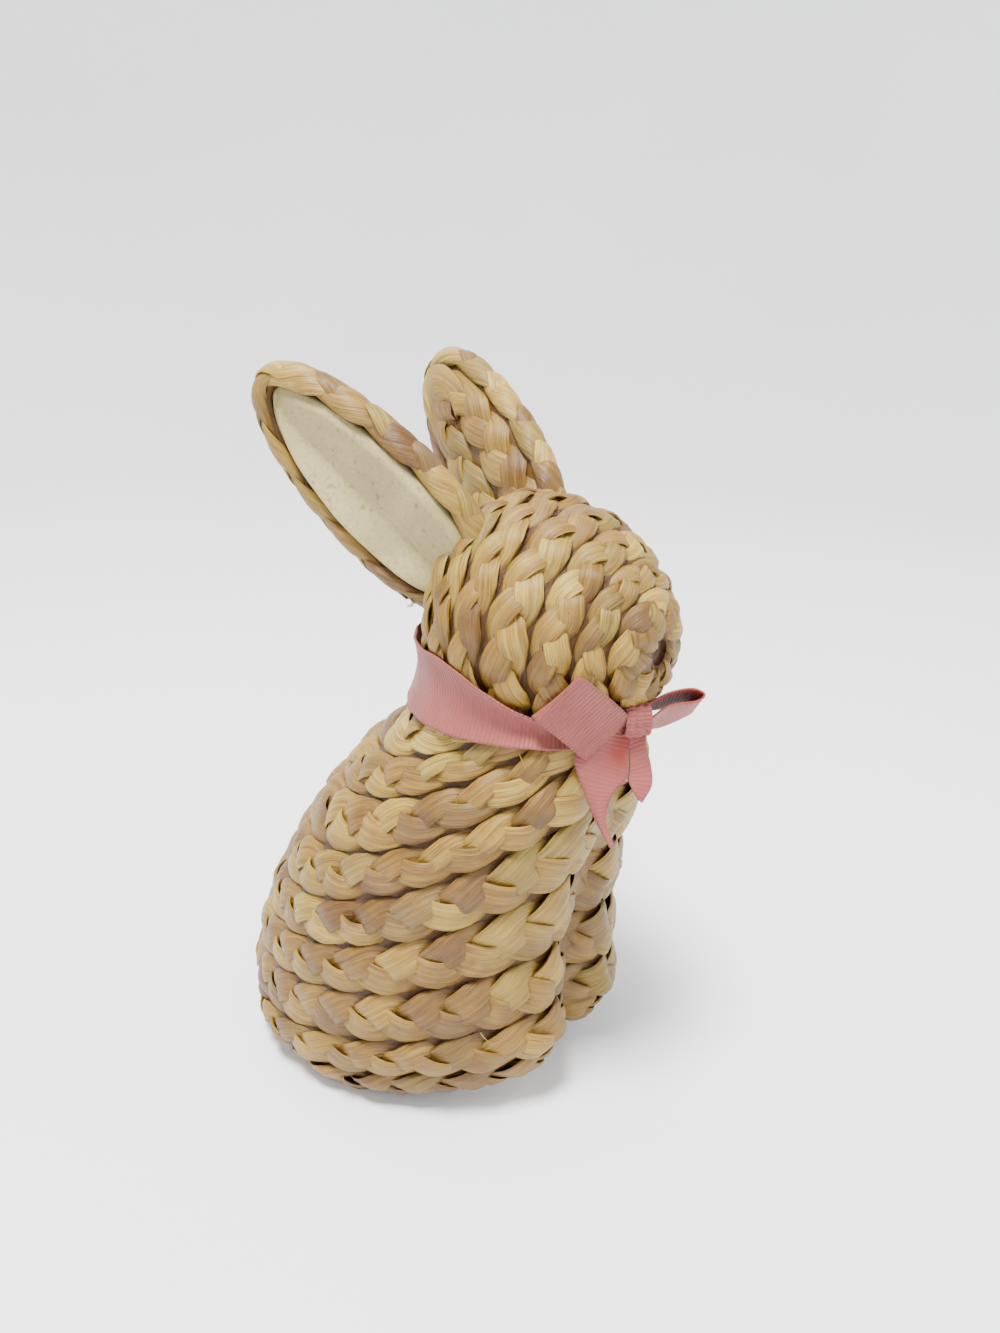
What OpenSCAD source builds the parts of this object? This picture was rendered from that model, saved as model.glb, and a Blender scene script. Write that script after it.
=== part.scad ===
// Seated rabbit figure: foam cores covered in rows of plaited husk, with two
// plaited ears and a ribbon tied in a bow. It faces -Y, its left side is +X,
// and it rests on z = 0.

/* [Body] */
// Height of the joint plane between the body and the head
neck_h = 116; // [112:0.5:118]
// Widest outside width of the body
body_w = 101; // [90:1:110]
// Deepest outside depth of the body, front to back
body_d = 112; // [100:1:120]
// How far the neck leans forward of the base
lean = 44; // [30:1:50]
// Depth of the groove between the two front legs at the floor
groove_base = 11.6; // [4:0.1:13]
// How far each foot bulges forward
foot_out = 6; // [0:0.5:8]

/* [Head] */
// Height of the head's centre
head_z = 133.7; // [130:0.1:137]
// Radius of the head across the snout axis
head_r = 30.6; // [28:0.1:33]
// Length from the head's centre to the tip of the nose
nose_len = 32; // [28:0.5:34]
// Length from the head's centre to its back
back_len = 30; // [27:0.5:32]
// Downward pitch of the snout axis
snout_pitch = 3; // [0:0.5:8]

/* [Plait] */
// Thickness of a plaited row
plait_t = 4.2; // [3:0.1:5]
// Depth of the valley between two rows
valley = 2.2; // [1:0.1:3]

/* [Ears] */
// Length of an ear from its root inside the head
ear_len = 67; // [55:1:75]
// Half width of an ear at the middle of its rim
ear_half_w = 14.6; // [12:0.2:17]
// Thickness of the wrapped rim
rim_t = 9; // [7:0.5:10]

/* [Ribbon] */
// Width of the ribbon
ribbon_w = 16; // [12:0.5:18]
// Thickness of the ribbon with its fold
ribbon_t = 0.8; // [0.6:0.1:1.2]
// Reach of a bow loop from the knot
loop_len = 22; // [16:1:26]

/* [Hidden] */

husk = [0.80, 0.66, 0.44];
husk_light = [0.86, 0.75, 0.54];
pulp = [0.84, 0.82, 0.74];
rose = [0.80, 0.50, 0.51];
foam = [0.95, 0.95, 0.93];
card_brown = [0.62, 0.50, 0.36];
bamboo = [0.82, 0.70, 0.48];

gap = 0.4;                 // clearance between neighbouring pieces
core_in = plait_t + 1.2;   // the foam lies this far inside the outer surface
fit = 0.2;                 // clearance of a peg or stem in its hole
around = 48;               // samples round the body
crowd = 35;                // how strongly the samples gather at the groove
base_y = 16.8;             // centre of the base, so the whole is centred on Y

// Body sections: height share, width share, depth share, lean share
STATIONS = [[0, 0.89, 0.76, 0], [0.07, 1, 0.885, 0.01], [0.2, 0.99, 1, 0.125],
            [0.4, 0.98, 0.9, 0.24], [0.6, 0.92, 0.8, 0.44],
            [0.8, 0.76, 0.69, 0.72], [1, 0.555, 0.44, 1]];
section_h = 118;           // height at which the last section lies
groove_top = 0.8;          // depth of the front groove at the neck
groove_w = 7.3;            // half width of the front groove
foot_h = 26;               // height of a foot
foot_low = 4;              // how far below the floor the foot's curve starts

// ---------- small helpers ----------
function mix(a, b, t) = a + (b - a) * t;
function clamp(v, lo, hi) = max(lo, min(hi, v));
function smooth(a, b, v) =
    let(t = clamp((v - a) / (b - a), 0, 1)) t * t * (3 - 2 * t);
function curve(a, b, c, d, t) =
    0.5 * (2 * b + (c - a) * t + (2 * a - 5 * b + 4 * c - d) * t * t
           + (3 * b - a - 3 * c + d) * t * t * t);
function unit(v) = v / norm(v);

// ---------- swept solids ----------
// Faces of a grid of rings. A closed grid joins its last ring to its first,
// an open one has a flat cap at each end.
function grid_faces(rings, n, closed = false) = concat(
    [for (i = [0 : rings - (closed ? 1 : 2)], j = [0 : n - 1])
        let(a = i * n + j, b = i * n + (j + 1) % n,
            c = ((i + 1) % rings) * n + (j + 1) % n,
            d = ((i + 1) % rings) * n + j)
        each [[a, b, c], [a, c, d]]],
    closed ? [] : [[for (j = [n - 1 : -1 : 0]) j],
                   [for (j = [0 : n - 1]) (rings - 1) * n + j]]);

module sweep(rings, closed = false) {
    n = len(rings[0]);
    points = [for (r = rings) each r];
    polyhedron(points, grid_faces(len(rings), n, closed), convexity = 6);
}

// ---------- body form ----------
function station(u) =
    let(last = len(STATIONS) - 1,
        i = max([for (k = [0 : last - 1]) STATIONS[k][0] <= u ? k : 0]),
        t = (u - STATIONS[i][0]) / (STATIONS[i + 1][0] - STATIONS[i][0]))
    curve(STATIONS[max(i - 1, 0)], STATIONS[i], STATIONS[i + 1],
          STATIONS[min(i + 2, last)], clamp(t, 0, 1));

function foot(z) = z > foot_h ? 0
    : foot_out * sin(180 * (z + foot_low) / (foot_h + foot_low));

// Angle round the body from the front, with more samples at the groove
function turn(j) = let(a = 360 * j / around) a - crowd * sin(a);

// Point of the outer surface at height z and angle th, moved out by off
function body_point(z, th, off) =
    let(s = station(clamp(z / section_h, 0, 1)),
        half_w = s[1] * body_w / 2 + off,
        half_d = s[2] * body_d / 2 + off,
        front = max(cos(th), 0),
        x = half_w * sin(th),
        g = mix(groove_base, groove_top, z / section_h) + foot(z),
        y = base_y - lean * s[3] - (half_d + foot(z) * front) * cos(th)
            + g * exp(-pow(x / groove_w, 2)) * front)
    [x, y, z];

// ---------- body rows ----------
// Height of each row's lower edge at the side, and how far it climbs in front
ROW_H = [0, 8, 20, 36, 53, 70, 86, 101, 113, 116];
ROW_RISE = [0, 9, 12, 13, 15.5, 19, 20, 19, 19, 0];
ROW_CURL = [0, 0, 0, 0, 2, 4, 5, 4, 4, 0];
rows = len(ROW_H) - 1;
floor_gap = 0.3;           // the lowest row clears the floor by this much
min_low = 1.6;             // least height of a row that thins out at the floor
min_high = 1.2;            // least height of a row that thins out at the neck

function row_edge(k, th) =
    k == 0 ? floor_gap : k == rows ? neck_h - gap
    : clamp(ROW_H[k] + ROW_RISE[k] * cos(th) + ROW_CURL[k] * cos(2 * th),
            floor_gap + min_low * k, neck_h - gap - min_high * (rows - k));

// Cross-section of a row: share of its height, offset from the surface
ROW_SECTION = [[0.02, -plait_t], [0.02, -valley], [0.14, -0.32 * valley],
               [0.35, -0.05 * valley], [0.65, -0.05 * valley],
               [0.86, -0.32 * valley], [0.98, -valley], [0.98, -plait_t],
               [0.75, -plait_t], [0.5, -plait_t], [0.25, -plait_t]];

module body_plait(k) {
    color(k % 2 == 0 ? husk : husk_light)
    sweep([for (j = [0 : around - 1])
        let(th = turn(j), lo = row_edge(k, th), hi = row_edge(k + 1, th))
        [for (q = ROW_SECTION) body_point(mix(lo, hi, q[0]), th, q[1])]],
        closed = true);
}

// ---------- cores, peg and base ----------
base_t = 2;                // thickness of the card under the body
base_in = 0.6;             // clearance between the card and the lowest row
peg_r = 4;
peg_y = base_y - lean + 8; // the peg stands behind the middle of the neck
peg_low = 92;
peg_high = 138;

module base_cover() {
    color(card_brown)
    linear_extrude(base_t)
    polygon([for (j = [0 : around - 1])
        let(p = body_point(0, turn(j), -plait_t - base_in)) [p.x, p.y]]);
}

core_steps = 22;           // slices of the body core
module body_core() {
    color(foam)
    difference() {
        sweep([for (i = [0 : core_steps])
            let(z = mix(base_t + gap, neck_h - gap, i / core_steps))
            [for (j = [around - 1 : -1 : 0]) body_point(z, turn(j), -core_in)]]);
        peg_hole();
    }
}

module peg_hole() {
    translate([0, peg_y, peg_low - gap])
    cylinder(r = peg_r + fit, h = peg_high - peg_low + 2 * gap, $fn = 32);
}

module neck_peg() {
    color(bamboo)
    translate([0, peg_y, peg_low])
    cylinder(r = peg_r, h = peg_high - peg_low, $fn = 32);
}

// ---------- head form ----------
head_y = base_y - lean - 3.5;
head_c = [0, head_y, head_z];
egg = 0.22;                // how much the head narrows towards the nose
nose_power = 2.3;          // over 2 makes the snout blunter than an ellipse
back_power = 2;
core_from = -0.8;          // shares along the head that its core reaches
core_to = 0.82;
cut_size = 120;            // size of the block that trims the head at the neck
// Shares along the head where one row meets the next
ROW_U = [-1, -0.84, -0.585, -0.293, 0, 0.27, 0.52, 0.76, 1];

// Distance along the snout axis for a share from -1, back, to 1, nose
function axial(u) = u < 0 ? u * back_len : u * nose_len;
function head_radius(u) =
    head_r * (1 - egg * u)
    * sqrt(max(0, 1 - pow(abs(u), u > 0 ? nose_power : back_power)));

// Outline of a part of the head from share a to share b, moved in by inset
function head_outline(a, b, inset, n = 10) =
    [for (i = [0 : n]) let(u = mix(a, b, i / n))
        [max(head_radius(u) - inset, 0),
         clamp(axial(u), inset - back_len, nose_len - inset)]];

module along_snout() {
    translate(head_c) rotate([90 + snout_pitch, 0, 0]) children();
}

module above_neck() {
    intersection() {
        children();
        translate([-cut_size / 2, head_y - cut_size / 2, neck_h]) cube(cut_size);
    }
}

seam = 0.012;              // half the gap between two rows, as a share
// A row between two shares: bulging outside, flush with the core inside
function head_row_section(a, b) =
    let(lo = a + (a > -1 ? seam : 0), hi = b - (b < 1 ? seam : 0), n = 8)
    concat(
        [for (i = [0 : n]) let(t = i / n, u = mix(lo, hi, t),
            edge_lo = a > -1 ? pow(1 - t, 3) : 0,
            edge_hi = b < 1 ? pow(t, 3) : 0)
            [max(head_radius(u) - valley * (edge_lo + edge_hi), 0), axial(u)]],
        [for (i = [n : -1 : 0]) let(u = mix(lo, hi, i / n))
            [max(head_radius(u) - plait_t, 0),
             clamp(axial(u), plait_t - back_len, nose_len - plait_t)]]);

module head_plait(k) {
    color(k % 2 == 0 ? husk_light : husk)
    difference() {
        above_neck()
        along_snout()
        rotate_extrude($fn = 64)
        polygon(head_row_section(ROW_U[k], ROW_U[k + 1]));
        stem_holes();
    }
}

module head_core() {
    color(foam)
    difference() {
        above_neck()
        along_snout()
        rotate_extrude($fn = 64)
        polygon(concat([[0, core_in - back_len]],
                       head_outline(core_from, core_to, core_in, 24),
                       [[0, nose_len - core_in]]));
        peg_hole();
        stem_holes();
    }
}

// ---------- ears ----------
EAR_ROOT = [15.4, base_y - lean + 10.6, 143.6];
EAR_DIRECTION = [0.26, 0.71, 0.69];
leaf_power = 1.37;         // over 1 moves the widest place towards the root
leaf_middle = 0.56;        // share of the length where the ear's sheets centre
ear_clear = 0.7;           // clearance between the ear's sheets and the head

function sided(v, side) = [side * v.x, v.y, v.z];
// Ear frame: along the ear, across it, and out of the lined face
function ear_root(side) = sided(EAR_ROOT, side);
function ear_along(side) = unit(sided(EAR_DIRECTION, side));
function ear_out(side) =
    let(a = ear_along(side), v = [side, 0, 0]) unit(v - a * (v * a));
function ear_across(side) = side * cross(ear_along(side), ear_out(side));
function ear_point(side, q) =
    ear_root(side) + q[0] * ear_along(side) + q[1] * ear_across(side)
    + q[2] * ear_out(side);

ear_steps = 40;            // samples round the ear
rim_half = 3.4;            // half width of the rim, seen from its face

// Middle line of the rim for an angle from the root (0) to the tip (180)
function leaf(a) =
    [ear_len * pow((1 - cos(a)) / 2, leaf_power), ear_half_w * sin(a)];
function leaf_normal(a) =
    let(d = leaf(a + 1) - leaf(a - 1)) unit([-d.y, d.x]);
function leaf_in(a, inset) = leaf(a) - leaf_normal(a) * inset;

// Distance past the head's surface of a point of the ear frame
function over_head(side, q) =
    let(p = ear_point(side, q) - head_c,
        s = [0, -cos(snout_pitch), -sin(snout_pitch)],
        along = p * s,
        u = along / (along < 0 ? back_len : nose_len))
    abs(u) >= 1 ? 1 : norm(p - along * s) - head_radius(u);

// Where a line along the ear leaves the head, with a small clearance
function exit_head(side, across, out, lo = 0, hi = 30, n = 14) =
    n == 0 ? hi : let(m = (lo + hi) / 2)
    over_head(side, [m, across, out]) > ear_clear
        ? exit_head(side, across, out, lo, m, n - 1)
        : exit_head(side, across, out, m, hi, n - 1);

// A point of the ear pushed out of the head where it would lie inside
function clear_point(side, q) =
    ear_point(side, [max(q[0], exit_head(side, q[1], q[2])), q[1], q[2]]);

// Leaf-shaped sheet. Its face is raised by rise at the middle, and its back
// is flat at level back.
module ear_leaf(side, inset, back, edge, rise) {
    angles = [for (i = [0 : ear_steps - 1]) 360 * (i + 0.5) / ear_steps];
    middle = [leaf_middle * ear_len, 0];
    shares = [1, 0.92, 0.7, 0.4];
    last = len(shares) - 1;
    turned = (side > 0) == (edge > back) ? rev(angles) : angles;
    function ring(s, level) = [for (a = turned)
        let(q = mix(middle, leaf_in(a, inset), s))
        clear_point(side, [q.x, q.y, level])];
    function lift(s) = edge + rise * (1 - s * s);
    sweep(concat([for (i = [last : -1 : 0]) ring(shares[i], back)],
                 [for (i = [0 : last]) ring(shares[i], lift(shares[i]))]));
}

function rev(v) = [for (i = [len(v) - 1 : -1 : 0]) v[i]];

// The card reaches into the rim, the lining and the back end beside it
module ear_card(side) {
    color(card_brown)
    ear_leaf(side, inset = rim_half - 1.2, back = -1, edge = 0, rise = 0);
}
module ear_lining(side) {
    color(pulp)
    ear_leaf(side, inset = rim_half + gap, back = gap, edge = 1.4, rise = 0.8);
}
module ear_back(side) {
    color(husk)
    ear_leaf(side, inset = rim_half + gap, back = -3.7, edge = -4.7, rise = -2.5);
}

// Rim section: a channel that opens inwards and takes the edge of the card
RIM = [[-1, 0.5], [-0.1, 0.5], [0.75, 0.4], [1, 0], [0.75, -0.4],
       [-0.1, -0.5], [-1, -0.5], [-1, -0.1], [-0.2, -0.1], [-0.2, 0.1],
       [-1, 0.1]];
// Angles at which the rim leaves the head, behind and in front
rim_back = 54;
rim_front = 66;
rim_level = -0.5;          // the rim's middle lies in the middle of the card

module ear_rim(side) {
    color(husk_light)
    sweep([for (i = [0 : ear_steps])
        let(a = mix(rim_back, 360 - rim_front, i / ear_steps))
        [for (q = side > 0 ? rev(RIM) : RIM)
            let(p = leaf(a) + leaf_normal(a) * q[0] * rim_half)
            ear_point(side, [p.x, p.y, q[1] * rim_t + rim_level])]]);
}

stem_r = 1;
stem_in = 6;               // length of stem in the head core
stem_out = 48;             // where the stem ends in the ear
stem_level = -2.4;         // the stem lies behind the card
hole_out = 20;             // how far its hole runs out of the ear's root
module along_ear(side) {
    a = ear_along(side);
    translate(ear_point(side, [0, 0, stem_level]))
    rotate([0, acos(a.z), atan2(a.y, a.x)])
    children();
}
module ear_stem(side) {
    color(bamboo)
    along_ear(side)
    translate([0, 0, -stem_in])
    cylinder(r = stem_r, h = stem_in + stem_out, $fn = 24);
}
module stem_holes() {
    for (side = [-1, 1])
        along_ear(side)
        translate([0, 0, -stem_in - gap])
        cylinder(r = stem_r + fit, h = stem_in + hole_out, $fn = 24);
}

// ---------- ribbon ----------
neck_axis = head_y;        // the collar turns round the head's vertical axis
knot_c = [-3.5, head_y - 28.9, 115.4];
knot_w = 8;
knot_h = 7.5;
knot_t = 5.6;

// Changes along the collar from its front, 0, to its back, 180: the angles
// between which each change happens and how large it is
TOP_RISE = [[50, 115, 13.5]];
TOP_RADIUS = [[40, 105, 7.2], [100, 135, 2], [145, 180, -2.4]];
HOLLOW = [[30, 95, 1.8], [95, 130, -0.8]];
top_z = 117.5;             // height of the top edge at the front
top_r = 25;                // radius of the top edge at the front
low_z = 112.5;             // height of the lower edge at the back
low_dip = 2.5;             // how much lower it lies at the front
low_r = 30.8;              // middle radius of the lower edge
low_shift = 7.2;           // how much larger that radius is at the back

function changes(table, a, i = 0) = i == len(table) ? 0
    : table[i][2] * smooth(table[i][0], table[i][1], a) + changes(table, a, i + 1);

// Collar edges: height and radius for an angle from the front
function collar_low(th) = [low_z - low_dip * pow(max(cos(th), 0), 2),
                           low_r - low_shift * cos(th)];
function collar_top(a) = [top_z + changes(TOP_RISE, a), top_r + changes(TOP_RADIUS, a)];
function collar_point(th, v, off) =
    let(a = abs(th > 180 ? th - 360 : th),
        e = mix(collar_low(th), collar_top(a), v),
        r = e[1] - changes(HOLLOW, a) * sin(180 * v) + off)
    [r * sin(th), neck_axis - r * cos(th), e[0]];

module ribbon_collar() {
    color(rose)
    sweep([for (j = [0 : around - 1]) let(th = 360 * j / around)
        concat([for (v = [0 : 0.25 : 1]) collar_point(th, v, ribbon_t / 2)],
               [for (v = [1 : -0.25 : 0]) collar_point(th, v, -ribbon_t / 2)])],
        closed = true);
}

module ribbon_knot() {
    color(rose)
    translate(knot_c)
    rotate([0, 90, 0])
    rotate([0, 0, 90])
    linear_extrude(knot_w, center = true)
    intersection() {
        circle(r = knot_h / 2, $fn = 32);
        square([knot_t, knot_h], center = true);
    }
}

// A strip of ribbon along a list of points, with its width direction and
// share of width at each point
module strip(path, wide, share, thick) {
    last = len(path) - 1;
    sweep([for (i = [0 : last])
        let(t = unit(path[min(i + 1, last)] - path[max(i - 1, 0)]),
            w = unit(wide[i] - t * (wide[i] * t)) * ribbon_w / 2 * share[i],
            n = unit(cross(t, w)) * thick / 2)
        [path[i] - w - n, path[i] - w + n, path[i] + w + n, path[i] + w - n]]);
}

loop_steps = 20;
loop_open = 3.2;           // half depth of the open loop
loop_from = 28;            // the loop's strip runs between these two angles
loop_to = 332;
loop_pinch = 0.55;         // share of its width where it enters the knot
// Loop that leaves the knot along dir; its width runs along wide
module ribbon_loop(side, dir, wide) {
    d = unit(dir);
    w = unit(wide - d * (wide * d));
    n = cross(d, w);
    start = knot_c + [side * (knot_w / 2 + 0.5), 0, 0];
    angles = [for (i = [0 : loop_steps]) mix(loop_from, loop_to, i / loop_steps)];
    color(rose)
    strip([for (a = angles)
               let(s = (1 - cos(a)) / 2)
               start + d * loop_len * s
               + n * loop_open * sin(a) * (0.35 + 0.65 * s)],
          [for (a = angles) w],
          [for (a = angles) mix(loop_pinch, 1, smooth(0, 0.7, (1 - cos(a)) / 2))],
          ribbon_t);
}

// Tail points, relative to the knot
TAIL_RIGHT = [[-2, 0, -5], [-4.4, -0.4, -9], [-6.4, -1, -14],
              [-7.8, -1.6, -20], [-8.5, -2, -27], [-8.5, -2, -34]];
TAIL_LEFT = [[2.5, -0.5, -5], [4.5, -1.2, -9], [6.4, -1.8, -14],
             [7.4, -2, -20], [7.6, -1.6, -26]];
tail_steps = 3;            // samples between two tail points
tail_pinch = 0.45;         // share of the ribbon's width at the knot
tail_full = 0.85;          // share of it where the tail is widest
tail_point = 0.2;          // share of that at the cut end

// Point of a smooth line through the list at position u, 0 to its last index
function along_path(path, u) =
    let(last = len(path) - 1, i = min(floor(u), last - 1))
    curve(path[max(i - 1, 0)], path[i], path[i + 1], path[min(i + 2, last)],
          u - i);

// Tail: its width turns from wide_a at the knot to wide_b at its cut end
module ribbon_tail(path, wide_a, wide_b) {
    last = (len(path) - 1) * tail_steps;
    color(rose)
    strip([for (i = [0 : last]) knot_c + along_path(path, i / tail_steps)],
          [for (i = [0 : last]) mix(wide_a, wide_b, i / last)],
          [for (i = [0 : last]) let(t = i / last)
              mix(tail_pinch, tail_full, smooth(0, 0.35, t))
              * mix(1, tail_point, smooth(0.6, 1, t))],
          ribbon_t);
}

base_cover();
body_core();
head_core();
neck_peg();
body_plait(0);  // body_plait_1
body_plait(1);  // body_plait_2
body_plait(2);  // body_plait_3
body_plait(3);  // body_plait_4
body_plait(4);  // body_plait_5
body_plait(5);  // body_plait_6
body_plait(6);  // body_plait_7
body_plait(7);  // body_plait_8
body_plait(8);  // body_plait_9
head_plait(0);  // head_plait_1
head_plait(1);  // head_plait_2
head_plait(2);  // head_plait_3
head_plait(3);  // head_plait_4
head_plait(4);  // head_plait_5
head_plait(5);  // head_plait_6
head_plait(6);  // head_plait_7
head_plait(7);  // head_plait_8
ear_stem(1);  // ear_stem_left
ear_card(1);  // ear_card_left
ear_back(1);  // ear_back_left
ear_lining(1);  // ear_lining_left
ear_rim(1);  // ear_rim_left
ear_stem(-1);  // ear_stem_right
ear_card(-1);  // ear_card_right
ear_back(-1);  // ear_back_right
ear_lining(-1);  // ear_lining_right
ear_rim(-1);  // ear_rim_right
ribbon_collar();
ribbon_knot();
ribbon_loop(1, [1, -0.1, 0.08], [0, -0.3, 1]);  // ribbon_loop_left
ribbon_loop(-1, [-0.9, 0.24, 0.42], [0.15, -0.62, 0.75]);  // ribbon_loop_right
ribbon_tail(TAIL_LEFT, [1, -0.6, 0], [0.5, -1, 0]);  // ribbon_tail_left
ribbon_tail(TAIL_RIGHT, [-0.6, -0.8, 0.3], [0.5, -1, 0]);  // ribbon_tail_right
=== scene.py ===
"""Looks of a seated rabbit figure: rows of plaited husk, lined ears and a tied ribbon."""

import bpy
import numpy as np
from mathutils import Matrix


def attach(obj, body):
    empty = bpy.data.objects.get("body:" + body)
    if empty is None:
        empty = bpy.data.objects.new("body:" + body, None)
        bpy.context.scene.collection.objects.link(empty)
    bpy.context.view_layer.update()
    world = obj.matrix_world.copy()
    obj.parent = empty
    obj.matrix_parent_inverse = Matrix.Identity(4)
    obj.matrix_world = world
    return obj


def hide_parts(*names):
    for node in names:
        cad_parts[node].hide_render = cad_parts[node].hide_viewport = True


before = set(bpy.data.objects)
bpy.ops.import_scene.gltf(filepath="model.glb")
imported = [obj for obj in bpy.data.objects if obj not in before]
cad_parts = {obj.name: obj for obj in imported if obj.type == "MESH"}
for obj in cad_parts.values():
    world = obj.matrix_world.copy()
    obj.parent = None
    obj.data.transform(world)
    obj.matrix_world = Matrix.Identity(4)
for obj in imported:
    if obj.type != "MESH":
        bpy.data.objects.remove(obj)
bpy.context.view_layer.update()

MM = 0.001
SEED = 11
random = np.random.default_rng(SEED)

# ---------- forms, in millimetres, the same as the CAD part's ----------
# Share of the height, then shares of the width, the depth and the lean there
STATIONS = np.array([
    [0, 0.89, 0.76, 0], [0.07, 1, 0.885, 0.01], [0.2, 0.99, 1, 0.125],
    [0.4, 0.98, 0.9, 0.24], [0.6, 0.92, 0.8, 0.44], [0.8, 0.76, 0.69, 0.72],
    [1, 0.555, 0.44, 1],
])
BODY_W, BODY_D, BASE_Y, LEAN = 101.0, 112.0, 16.8, 44.0
SECTION_H, NECK_H = 118.0, 116.0
# Depth of the groove between the front legs at the base and at the neck, its width
GROOVE_BASE, GROOVE_TOP, GROOVE_W = 11.6, 0.8, 7.3
FOOT_OUT, FOOT_H = 6.0, 26.0
# Lower edge of each body row: height, rise to the front, curl
ROW_H = [0, 8, 20, 36, 53, 70, 86, 101, 113, 116]
ROW_RISE = [0, 9, 12, 13, 15.5, 19, 20, 19, 19, 0]
ROW_CURL = [0, 0, 0, 0, 2, 4, 5, 4, 4, 0]

HEAD_Y = BASE_Y - LEAN - 3.5
HEAD_C = np.array([0, HEAD_Y, 133.7])
HEAD_R, NOSE_LEN, BACK_LEN, EGG = 30.6, 32.0, 30.0, 0.22
SNOUT = np.array([0, -np.cos(np.radians(3)), -np.sin(np.radians(3))])

EAR_LEN, EAR_HALF, RIM_HALF = 67.0, 14.6, 3.4

# Steps of the angle or share, and of the height, used to find a slope
TURN_STEP, SHARE_STEP, HEIGHT_STEP = 0.01, 0.0008, 0.4


def unit(v):
    v = np.asarray(v, float)
    return v / np.maximum(np.linalg.norm(v, axis=-1, keepdims=True), 1e-12)


def smooth(a, b, v):
    t = np.clip((v - a) / (b - a), 0, 1)
    return t * t * (3 - 2 * t)


def mix(a, b, t):
    return a + (b - a) * t


def full_turn(count):
    """count angles, evenly spaced round a circle."""
    return np.linspace(0, 2 * np.pi, count + 1)[:-1]


def arc_table(points):
    """Distance along a line of points, at each of them."""
    steps = np.linalg.norm(np.diff(points, axis=0), axis=1)
    return np.concatenate([[0], np.cumsum(steps)])


def catmull(points, u):
    """Smooth line through points; u runs from 0 to len(points) - 1."""
    points = np.asarray(points, float)
    last = len(points) - 1
    i = np.clip(np.floor(u).astype(int), 0, last - 1)
    t = (u - i).reshape(-1, *([1] * (points.ndim - 1)))
    a, b = points[np.maximum(i - 1, 0)], points[i]
    c, d = points[i + 1], points[np.minimum(i + 2, last)]
    return 0.5 * (2 * b + (c - a) * t + (2 * a - 5 * b + 4 * c - d) * t ** 2
                  + (3 * b - a - 3 * c + d) * t ** 3)


# ---------- body surface ----------
def body_point(th, z):
    """Outer surface of the body at angle th (0 is the front) and height z."""
    zc = np.clip(z, 0, SECTION_H)
    u = zc / SECTION_H
    i = np.clip(np.searchsorted(STATIONS[:, 0], u, side="right") - 1, 0,
                len(STATIONS) - 2)
    lo, hi = STATIONS[i, 0], STATIONS[i + 1, 0]
    s = catmull(STATIONS, (i + (u - lo) / (hi - lo)).ravel()).reshape(*u.shape, 4)
    front = np.maximum(np.cos(th), 0)
    foot = np.where(zc > FOOT_H, 0,
                    FOOT_OUT * np.sin(np.pi * (zc + 4) / (FOOT_H + 4)))
    x = s[..., 1] * BODY_W / 2 * np.sin(th)
    groove = mix(GROOVE_BASE, GROOVE_TOP, u) + foot
    y = (BASE_Y - LEAN * s[..., 3]
         - (s[..., 2] * BODY_D / 2 + foot * front) * np.cos(th)
         + groove * np.exp(-((x / GROOVE_W) ** 2)) * front)
    return np.stack([x, y, z], -1)


def head_radius(u):
    power = np.where(u > 0, 2.3, 2.0)
    return (HEAD_R * np.sqrt(np.maximum(1 - np.abs(u) ** power, 0))
            * (1 - EGG * u))


SNOUT_UP = unit(np.cross(SNOUT, [1, 0, 0]))


def head_point(turn, u):
    """Outer surface of the head at a turn round the snout and a share along it."""
    along = np.where(u < 0, BACK_LEN, NOSE_LEN) * u
    r = head_radius(u)
    return (HEAD_C + along[..., None] * SNOUT
            + (r * np.cos(turn))[..., None] * SNOUT_UP
            + (r * np.sin(turn))[..., None] * np.array([1.0, 0, 0]))


def normals(surface, a, b, da, db, inside):
    """Normals of surface(a, b), turned away from the point inside."""
    n = unit(np.cross(surface(a + da, b) - surface(a - da, b),
                      surface(a, b + db) - surface(a, b - db)))
    away = np.sum(n * (surface(a, b) - inside), -1, keepdims=True)
    return np.where(away < 0, -n, n)


# ---------- ribbon round the neck ----------
def collar_heights(th):
    """Heights of the two edges of the neck ribbon at an angle from the front."""
    a = np.degrees(np.arccos(np.cos(th)))
    return (112.5 - 2.5 * np.maximum(np.cos(th), 0) ** 2,
            117.5 + 13.5 * smooth(50, 115, a))


def collar_radius(th, v):
    """Its radius about the head's axis at a share v from its lower edge."""
    a = np.degrees(np.arccos(np.cos(th)))
    low = 30.8 - 7.2 * np.cos(th)
    top = (25 + 7.2 * smooth(40, 105, a) + 2 * smooth(100, 135, a)
           - 2.4 * smooth(145, 180, a))
    hollow = 2.7 * smooth(20, 80, a) - 1.3 * smooth(105, 150, a)
    return mix(low, top, v) - hollow * np.sin(np.pi * v)


UNDER_COLLAR = 0.75  # how far inside the middle of the ribbon the husk stays


def held_in(points):
    """Presses whatever lies under the neck ribbon inside it."""
    x, y = points[:, 0], points[:, 1] - HEAD_Y
    th, r = np.arctan2(x, -y), np.hypot(x, y)
    low, top = collar_heights(th)
    v = (points[:, 2] - low) / (top - low)
    limit = collar_radius(th, np.clip(v, 0, 1)) - UNDER_COLLAR
    limit += 6 * (smooth(0.0, 0.25, -v) + smooth(1.0, 1.2, v))
    share = np.where((v > -0.3) & (v < 1.25), np.minimum(1, limit / r), 1)
    points[:, 0], points[:, 1] = x * share, HEAD_Y + y * share
    return points


# ---------- meshes ----------
def quads_of(index):
    """Four-sided faces between the neighbours of a grid of point numbers."""
    return np.stack([index[:-1, :-1], index[:-1, 1:], index[1:, 1:],
                     index[1:, :-1]], -1).reshape(-1, 4)


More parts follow.
